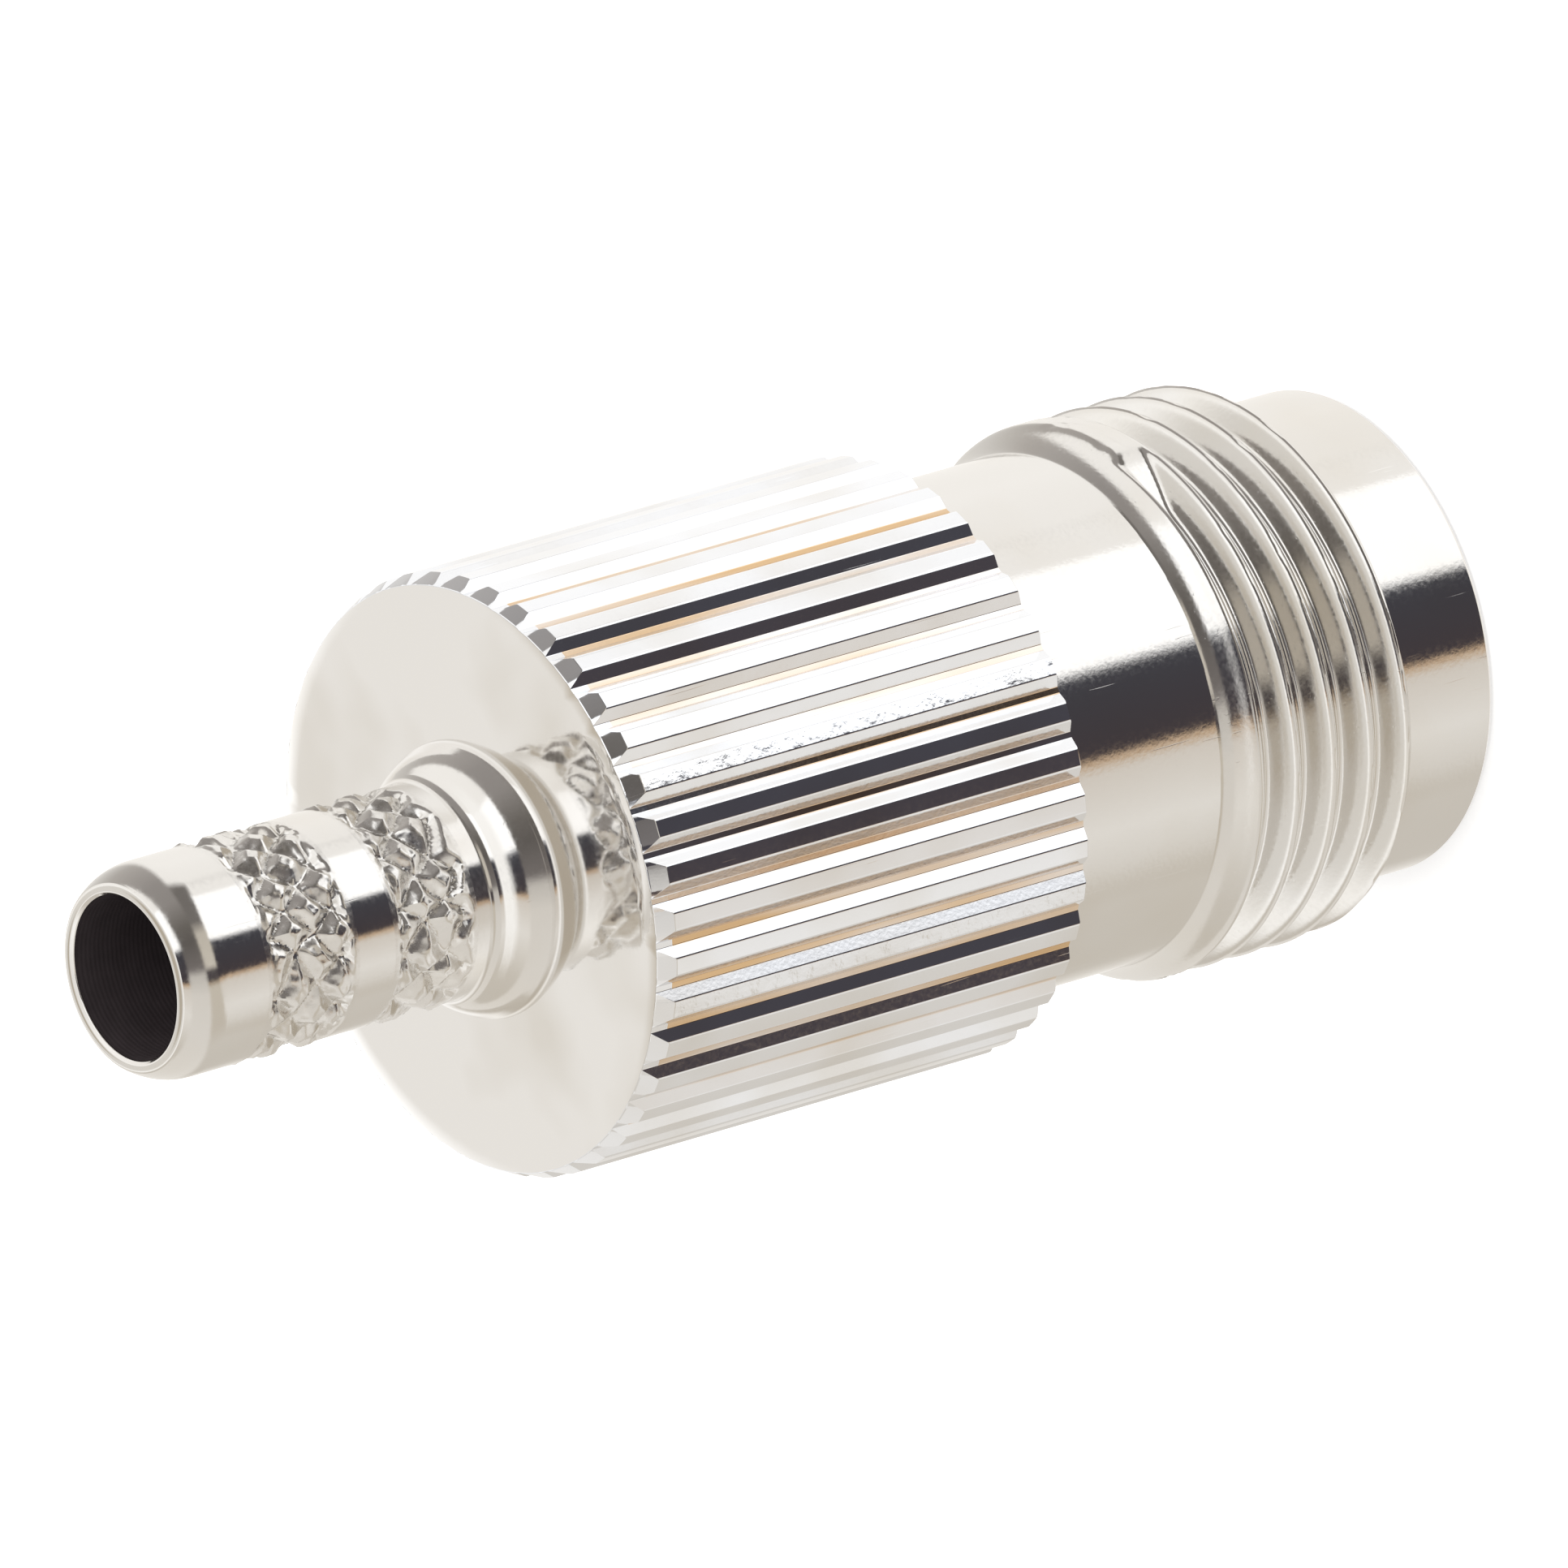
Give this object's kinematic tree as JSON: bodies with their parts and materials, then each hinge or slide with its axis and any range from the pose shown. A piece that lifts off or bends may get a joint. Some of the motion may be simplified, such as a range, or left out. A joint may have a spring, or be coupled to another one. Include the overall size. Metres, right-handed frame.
{
  "type": "tnc connector",
  "caption": "Straight TNC coaxial jack with a threaded mating end, a grooved grip and a knurled crimp spigot for the cable.",
  "frame": {"origin": "centre of the mating rim, which is the part's foot", "axes": "+Z along the connector's axis, from the mating rim up to the mouth of the crimp spigot; X and Y are free, X runs through the middle of a groove of the grip"},
  "size_m": [0.012, 0.012, 0.0297],
  "materials": {
    "plated_shell": "bright white bronze plating, polished",
    "plated_spigot": "bright white bronze plating, knurled in two bands",
    "ptfe": "turned PTFE, waxy white",
    "gold_plate": "gold plating"
  },
  "bodies": {
    "root": {"shell": "plated_shell", "crimp_spigot": "plated_spigot", "insulator": "ptfe", "centre_contact": "gold_plate"}
  },
  "joints": []
}
